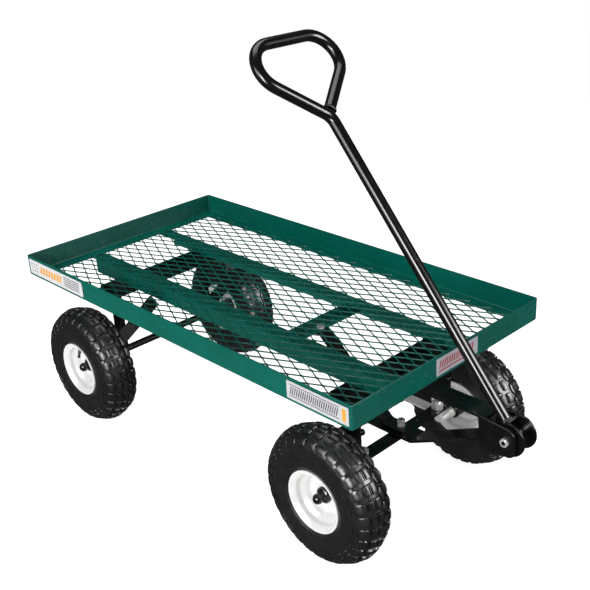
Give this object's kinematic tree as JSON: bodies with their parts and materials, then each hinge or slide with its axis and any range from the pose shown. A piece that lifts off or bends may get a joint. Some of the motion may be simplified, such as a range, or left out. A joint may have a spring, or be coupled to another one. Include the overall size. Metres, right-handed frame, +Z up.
{
  "type": "garden cart",
  "caption": "Garden cart with a steel rail deck of expanded metal, pneumatic wheels, knuckle steering worked by a two-bar tongue, and a folding tubular pull handle.",
  "frame": {"origin": "on the ground under the middle of the overall length and width", "axes": "+X forward towards the pull handle's pivot, +Y left, +Z up"},
  "size_m": [1.1369, 0.5087, 0.8639],
  "materials": {
    "green_paint": "gloss",
    "black_paint": "gloss",
    "white_paint": "gloss",
    "zinc_plated_steel": "satin",
    "tyre_rubber": "matte",
    "valve_rubber": "satin",
    "black_plastic": "gloss",
    "label": "satin"
  },
  "bodies": {
    "frame": {"deck_rail_front": "green_paint", "deck_rail_left": "green_paint", "deck_rail_rear": "green_paint", "deck_rail_right": "green_paint", "deck_mesh": "green_paint", "long_member_left": "green_paint", "long_member_right": "green_paint", "cross_member": "green_paint", "front_bolster": "black_paint", "rear_bolster": "black_paint", "front_strap": "black_paint", "front_leg_left": "black_paint", "front_leg_right": "black_paint", "rear_leg_left": "black_paint", "rear_leg_right": "black_paint", "rear_axle": "black_paint", "rear_brace_left": "black_paint", "rear_brace_right": "black_paint", "front_brace": "black_paint", "brace_bolt": "zinc_plated_steel", "king_bolt_lower": "zinc_plated_steel", "king_bolt_upper": "black_paint", "label_side_rear": "label", "label_side_front": "label", "label_front": "label"},
    "tongue": {"tongue_lower_bar": "black_paint", "tongue_upper_bar": "black_paint", "tongue_plate_left": "black_paint", "tongue_plate_right": "black_paint", "pivot_bolt": "zinc_plated_steel"},
    "tie": {"tie_bar": "black_paint", "tie_bolt_centre": "zinc_plated_steel", "tie_bolt_left": "zinc_plated_steel", "tie_bolt_right": "zinc_plated_steel"},
    "knuckle_left": {"knuckle_left": "zinc_plated_steel", "kingpin_left": "zinc_plated_steel"},
    "knuckle_right": {"knuckle_right": "zinc_plated_steel", "kingpin_right": "zinc_plated_steel"},
    "handle": {"handle_tube": "black_paint", "clevis": "black_paint"},
    "wheel_front_left": {"tyre_front_left": "tyre_rubber", "rim_front_left": "white_paint", "hub_front_left": "black_paint", "cap_front_left": "black_plastic", "valve_front_left": "valve_rubber"},
    "wheel_front_right": {"tyre_front_right": "tyre_rubber", "rim_front_right": "white_paint", "hub_front_right": "black_paint", "cap_front_right": "black_plastic", "valve_front_right": "valve_rubber"},
    "wheel_rear_left": {"tyre_rear_left": "tyre_rubber", "rim_rear_left": "white_paint", "hub_rear_left": "black_paint", "cap_rear_left": "black_plastic", "valve_rear_left": "valve_rubber"},
    "wheel_rear_right": {"tyre_rear_right": "tyre_rubber", "rim_rear_right": "white_paint", "hub_rear_right": "black_paint", "cap_rear_right": "black_plastic", "valve_rear_right": "valve_rubber"}
  },
  "joints": [
    {"name": "steer", "type": "hinge", "parent": "frame", "child": "tongue", "pos_m": [0.2905, 0, 0.22], "axis": [0, 0, 1], "range_deg": [-22, 22]},
    {"name": "knuckle_left_turn", "type": "hinge", "parent": "frame", "child": "knuckle_left", "pos_m": [0.2905, 0.108, 0.131], "axis": [0, 0, 1], "range_deg": [-22, 22]},
    {"name": "knuckle_right_turn", "type": "hinge", "parent": "frame", "child": "knuckle_right", "pos_m": [0.2905, -0.108, 0.131], "axis": [0, 0, 1], "range_deg": [-22, 22]},
    {"name": "tie_turn", "type": "hinge", "parent": "tongue", "child": "tie", "pos_m": [0.1955, 0, 0.145], "axis": [0, 0, 1], "range_deg": [-22, 22]},
    {"name": "handle_tilt", "type": "hinge", "parent": "tongue", "child": "handle", "pos_m": [0.5375, 0, 0.256], "axis": [0, 1, 0], "range_deg": [0, 145]},
    {"name": "spin_front_left", "type": "hinge", "parent": "knuckle_left", "child": "wheel_front_left", "pos_m": [0.2905, 0.2, 0.131], "axis": [0, 1, 0], "continuous": true},
    {"name": "spin_front_right", "type": "hinge", "parent": "knuckle_right", "child": "wheel_front_right", "pos_m": [0.2905, -0.2, 0.131], "axis": [0, 1, 0], "continuous": true},
    {"name": "spin_rear_left", "type": "hinge", "parent": "frame", "child": "wheel_rear_left", "pos_m": [-0.4375, 0.204, 0.131], "axis": [0, 1, 0], "continuous": true},
    {"name": "spin_rear_right", "type": "hinge", "parent": "frame", "child": "wheel_rear_right", "pos_m": [-0.4375, -0.204, 0.131], "axis": [0, 1, 0], "continuous": true}
  ],
  "couplings": [
    {"joint": "knuckle_left_turn", "follows": "steer", "ratio": 1},
    {"joint": "knuckle_right_turn", "follows": "steer", "ratio": 1},
    {"joint": "tie_turn", "follows": "steer", "ratio": -1}
  ]
}
